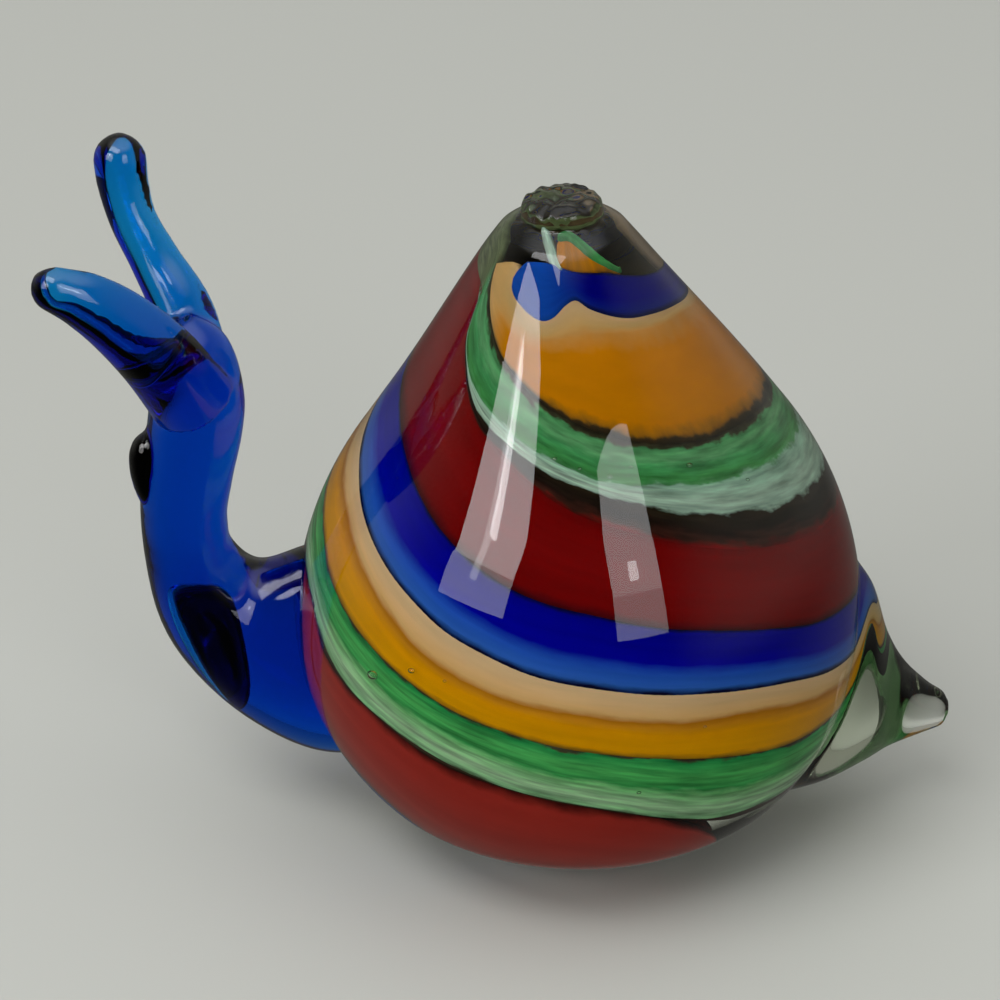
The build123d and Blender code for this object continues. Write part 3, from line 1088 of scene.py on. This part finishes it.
BLUE_GLASS = TrailGlass(
    name="opaque_blue_glass",
    upper=((0.0, "#06061C"), (0.08, "#00005A"), (0.6, "#000060"), (0.9, "#04105E"), (1.0, "#060A30")),
    lower=((0.0, "#04041C"), (0.06, "#000074"), (0.55, "#000088"), (0.72, "#163EB2"), (0.92, "#1E4AB2"),
           (1.0, "#05051E")),
    start="#0A3494",
    start_turn=(-25.0, 20.0),
    mottle=0.1,
)
ORANGE_GLASS = TrailGlass(
    name="opaque_orange_glass",
    upper=((0.0, "#8A6A4A"), (0.03, "#C09468"), (0.3, "#BE8A50"), (0.55, "#C66402"), (0.9, "#BC6000"),
           (0.955, "#7A4A0C"), (0.975, "#2A2012"), (1.0, "#1C1810")),
    lower=((0.0, "#20140A"), (0.05, "#F4B47C"), (0.38, "#F0A05C"), (0.47, "#AE5C0C"), (0.54, "#D07010"),
           (0.64, "#F67E00"), (0.92, "#F48200"), (1.0, "#6A4812")),
    start="#C88A4C",
    start_turn=(-58.0, -34.0),
    fray=0.025,
    mottle=0.1,
    streak_width=3.0,
)
GREEN_GLASS = TrailGlass(
    name="streaky_green_glass",
    upper=((0.0, "#1C1810"), (0.045, "#2A2A1C"), (0.07, "#3A7E48"), (0.16, "#4A9056"), (0.24, "#328044"),
           (0.36, "#2C7034"), (0.4, "#3A7A44"), (0.43, "#7CB292"), (0.6, "#92BA9E"), (0.69, "#86AE96"),
           (0.73, "#1A140C"), (0.86, "#140C08"), (0.94, "#2A140E"), (1.0, "#5C0404")),
    lower=((0.0, "#2D2A1E"), (0.03, "#1A7A3A"), (0.2, "#3CA84C"), (0.34, "#2C8840"), (0.42, "#66C46C"),
           (0.6, "#96DC96"), (0.72, "#74BE7A"), (0.78, "#2D281E"), (1.0, "#1E0A08")),
    start="#465034",
    fray=0.045,
    mottle=0.5,
    streak_length=12.0,
    streak_width=1.1,
)
RED_GLASS = TrailGlass(
    name="opaque_red_glass",
    upper=((0.0, "#540404"), (0.06, "#580202"), (0.5, "#600404"), (0.9, "#580202"), (1.0, "#2A0208")),
    lower=((0.0, "#300A08"), (0.06, "#8C201A"), (0.5, "#942822"), (0.9, "#8C201A"), (1.0, "#32040A")),
    start="#5E4C38",
    start_turn=(-130.0, -100.0),
    mottle=0.1,
)


@dataclass(frozen=True)
class Window:
    """A plain bright panel that lights the object from one side."""

    name: str
    azimuth: float
    low: float
    high: float
    width: float
    distance: float
    brightness: float

    def build(self, aim: Vector) -> bpy.types.Object:
        """Build the panel, facing the object.

        Args:
            aim: Middle of the object in metres.

        Returns:
            The light.
        """
        turn, rise = math.radians(self.azimuth), math.radians((self.low + self.high) / 2)
        back = Vector((math.sin(turn) * math.cos(rise), -math.cos(turn) * math.cos(rise), math.sin(rise)))
        lamp = bpy.data.lights.new(self.name, "AREA")
        lamp.shape = "RECTANGLE"
        lamp.size = 2 * self.distance * math.tan(math.radians(self.width / 2))
        lamp.size_y = 2 * self.distance * math.tan(math.radians((self.high - self.low) / 2))
        lamp.energy = self.brightness * math.pi * lamp.size * lamp.size_y
        light = bpy.data.objects.new(self.name, lamp)
        light.location = aim + back * self.distance
        light.rotation_mode = "QUATERNION"
        light.rotation_quaternion = (-back).to_track_quat("-Z", "Y")
        bpy.context.collection.objects.link(light)
        return light


WINDOWS = (
    Window("left_window", azimuth=-47.6, low=24.0, high=38.4, width=28.8, distance=1.6, brightness=5.2),
    Window("left_low_window", azimuth=-48.0, low=11.5, high=24.0, width=29.8, distance=1.6, brightness=2.8),
    Window("right_window", azimuth=23.5, low=21.0, high=40.0, width=21.0, distance=2.0, brightness=3.3),
    Window("right_low_window", azimuth=23.5, low=7.0, high=21.0, width=21.0, distance=2.0, brightness=2.2),
    Window("key_panel", azimuth=-38.0, low=47.0, high=67.0, width=40.0, distance=1.6, brightness=4.2),
    Window("left_slit", azimuth=-50.0, low=19.0, high=33.0, width=3.2, distance=1.5, brightness=3.0),
    Window("left_gap", azimuth=-47.5, low=31.0, high=33.6, width=3.6, distance=1.5, brightness=9.0),
    Window("right_gap", azimuth=23.0, low=25.0, high=31.0, width=4.0, distance=1.9, brightness=6.0),
)


@dataclass
class Studio:
    """Camera, pale floor and soft light.

    Each range is the axis of a direction, and the two places on it between which one colour of the room
    turns into the next.
    """

    camera_distance: float = 600.0
    elevation: float = 30.0
    aim: tuple[float, float, float] = (-14.65, 0.0, 58.9)
    lens: float = 137.95
    sensor: float = 36.0
    floor_half: float = 3.0
    floor_drop: float = 0.05
    floor_colour: str = "#BBBCB6"
    floor_roughness: float = 0.9
    floor_gloss: float = 0.1
    room_front: str = "#181816"
    room_back: str = "#7C7C76"
    room_right: str = "#6E6E68"
    floor_glow: str = "#4C4C48"
    ceiling_front: str = "#FFFFFF"
    ceiling_back: str = "#C4C8CC"
    strength: float = 1.62
    rear_range: tuple[str, float, float] = ("Y", -0.5, 0.6)
    right_range: tuple[str, float, float] = ("X", 0.5, 1.0)
    up_range: tuple[str, float, float] = ("Z", 0.66, 0.92)
    down_range: tuple[str, float, float] = ("Z", 0.05, -0.25)
    clip: tuple[float, float] = (0.01, 20.0)

    def build_camera(self) -> bpy.types.Object:
        """Build the camera at the photograph's angle."""
        data = bpy.data.cameras.new("camera")
        data.lens, data.sensor_width, data.sensor_fit = self.lens, self.sensor, "HORIZONTAL"
        data.clip_start, data.clip_end = self.clip
        camera = bpy.data.objects.new("camera", data)
        rise = math.radians(self.elevation)
        back = Vector((0.0, -math.cos(rise), math.sin(rise)))
        camera.location = (Vector(self.aim) + back * self.camera_distance) * MM
        camera.rotation_euler = (math.pi / 2 - rise, 0.0, 0.0)
        bpy.context.collection.objects.link(camera)
        bpy.context.scene.camera = camera
        return camera

    def build_floor(self) -> bpy.types.Object:
        """Build the floor of matt pale card, which shows soft shadows and no mirror image."""
        bpy.ops.object.select_all(action="DESELECT")
        bpy.ops.mesh.primitive_plane_add(size=2 * self.floor_half, location=(0, 0, -self.floor_drop * MM))
        floor = bpy.context.object
        floor.name = "floor"
        material = bpy.data.materials.new("matt_pale_card")
        material.use_nodes = True
        feed(
            material.node_tree.nodes["Principled BSDF"],
            {"Base Color": linear(self.floor_colour), "Roughness": self.floor_roughness,
             "Specular IOR Level": self.floor_gloss},
        )
        floor.data.materials.append(material)
        floor.visible_glossy = False
        return floor

    def build_room(self) -> None:
        """Build the soft light all round: bright ceiling, grey walls at the back and right, dark front."""
        world = bpy.data.worlds.new("soft_room")
        bpy.context.scene.world = world
        world.use_nodes = True
        tree = world.node_tree
        where = add(tree, "ShaderNodeTexCoord")
        split = add(tree, "ShaderNodeSeparateXYZ", links={0: where.outputs["Generated"]})
        rear, right, up, down = (
            add(
                tree, "ShaderNodeMapRange", {"interpolation_type": "SMOOTHSTEP"},
                {"Value": split.outputs[axis], "From Min": low, "From Max": high},
            ).outputs[0]
            for axis, low, high in (self.rear_range, self.right_range, self.up_range, self.down_range)
        )
        light = {
            "front": linear(self.room_front),
            "back": linear(self.room_back),
            "right": linear(self.room_right),
            "floor": linear(self.floor_glow),
            "ceiling front": linear(self.ceiling_front),
            "ceiling back": linear(self.ceiling_back),
        }
        for name, share, first, second in (
            ("walls", rear, "front", "back"),
            ("all walls", right, "walls", "right"),
            ("ceiling", rear, "ceiling front", "ceiling back"),
            ("upper half", up, "all walls", "ceiling"),
            ("lower half", rear, "front", "floor"),
            ("room", down, "upper half", "lower half"),
        ):
            mixed = add(
                tree, "ShaderNodeMix", {"data_type": "RGBA"},
                {"Factor": share, 6: light[first], 7: light[second]},
            )
            light[name] = mixed.outputs[2]
        feed(tree.nodes["Background"], {"Color": light["room"], "Strength": self.strength})

    def build(self, windows: tuple[Window, ...]) -> None:
        """Build the camera, the floor and the light.

        Args:
            windows: Bright panels that light the object.
        """
        self.build_camera()
        self.build_floor()
        self.build_room()
        for window in windows:
            window.build(Vector(self.aim) * MM)
        bpy.context.scene.view_settings.view_transform = "Standard"


def main() -> None:
    """Build the snail's glass and the studio round it, and report each piece."""
    logging.basicConfig(level=logging.INFO)
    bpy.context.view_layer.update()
    form = ShellForm()
    body = ClearBody(form, TailForm()).build(ClearGlass())
    LOG.info("clear body: %d faces", len(body.data.polygons))
    orange_curl = Trail(
        form, "orange_curl", Slot.ORANGE, ((0.92, CURL_MIDDLE), (0.945, CURL_BASE)),
        first=-8, last=50, depth=2.9,
    )
    green_curl = Trail(
        form, "green_curl", Slot.GREEN, ((0.3, CURL_TOP), (0.36, CURL_MIDDLE)), first=-8, last=52,
    )
    swirl = Trail(
        form, "swirl", Slot.GREEN, ((0.5, SWIRL_TOP), (0.62, SWIRL_BASE)), first=-34, last=1, end_taper=16.0,
    )
    blue = Trail(
        form, "blue_trail", Slot.BLUE, ((0.0, BLUE_TOP), (1.0, BLUE_ORANGE)), first=-45, last=690,
        start_round=9.0, end_taper=12.0,
    )
    orange = Trail(
        form, "orange_trail", Slot.ORANGE, ((0.0, ORANGE_TOP), (0.45, PEACH_ORANGE), (1.0, ORANGE_GREEN)),
        first=-73, last=540, depth=2.75, curls=(orange_curl,),
    )
    green = Trail(
        form, "green_trail", Slot.GREEN,
        ((0.0, ORANGE_GREEN), (0.4, GREEN_MINT), (0.75, MINT_DARK), (1.0, GREEN_RED)),
        first=-195, last=500, curls=(green_curl, swirl),
    )
    red = Trail(form, "red_trail", Slot.RED, ((0.0, GREEN_RED), (1.0, RED_BASE)), first=-268, last=398)
    trails = ((blue, BLUE_GLASS), (orange, ORANGE_GLASS), (green, GREEN_GLASS), (red, RED_GLASS))
    for trail, finish in trails:
        piece = trail.build(finish)
        LOG.info("%s: %d faces", trail.node, len(piece.data.polygons))
    head = Head(form).build(CobaltGlass(), [FAR_TENTACLE, NEAR_TENTACLE])
    LOG.info("blue head: %d faces", len(head.data.polygons))
    Studio().build(WINDOWS)


if __name__ == "__main__":
    main()
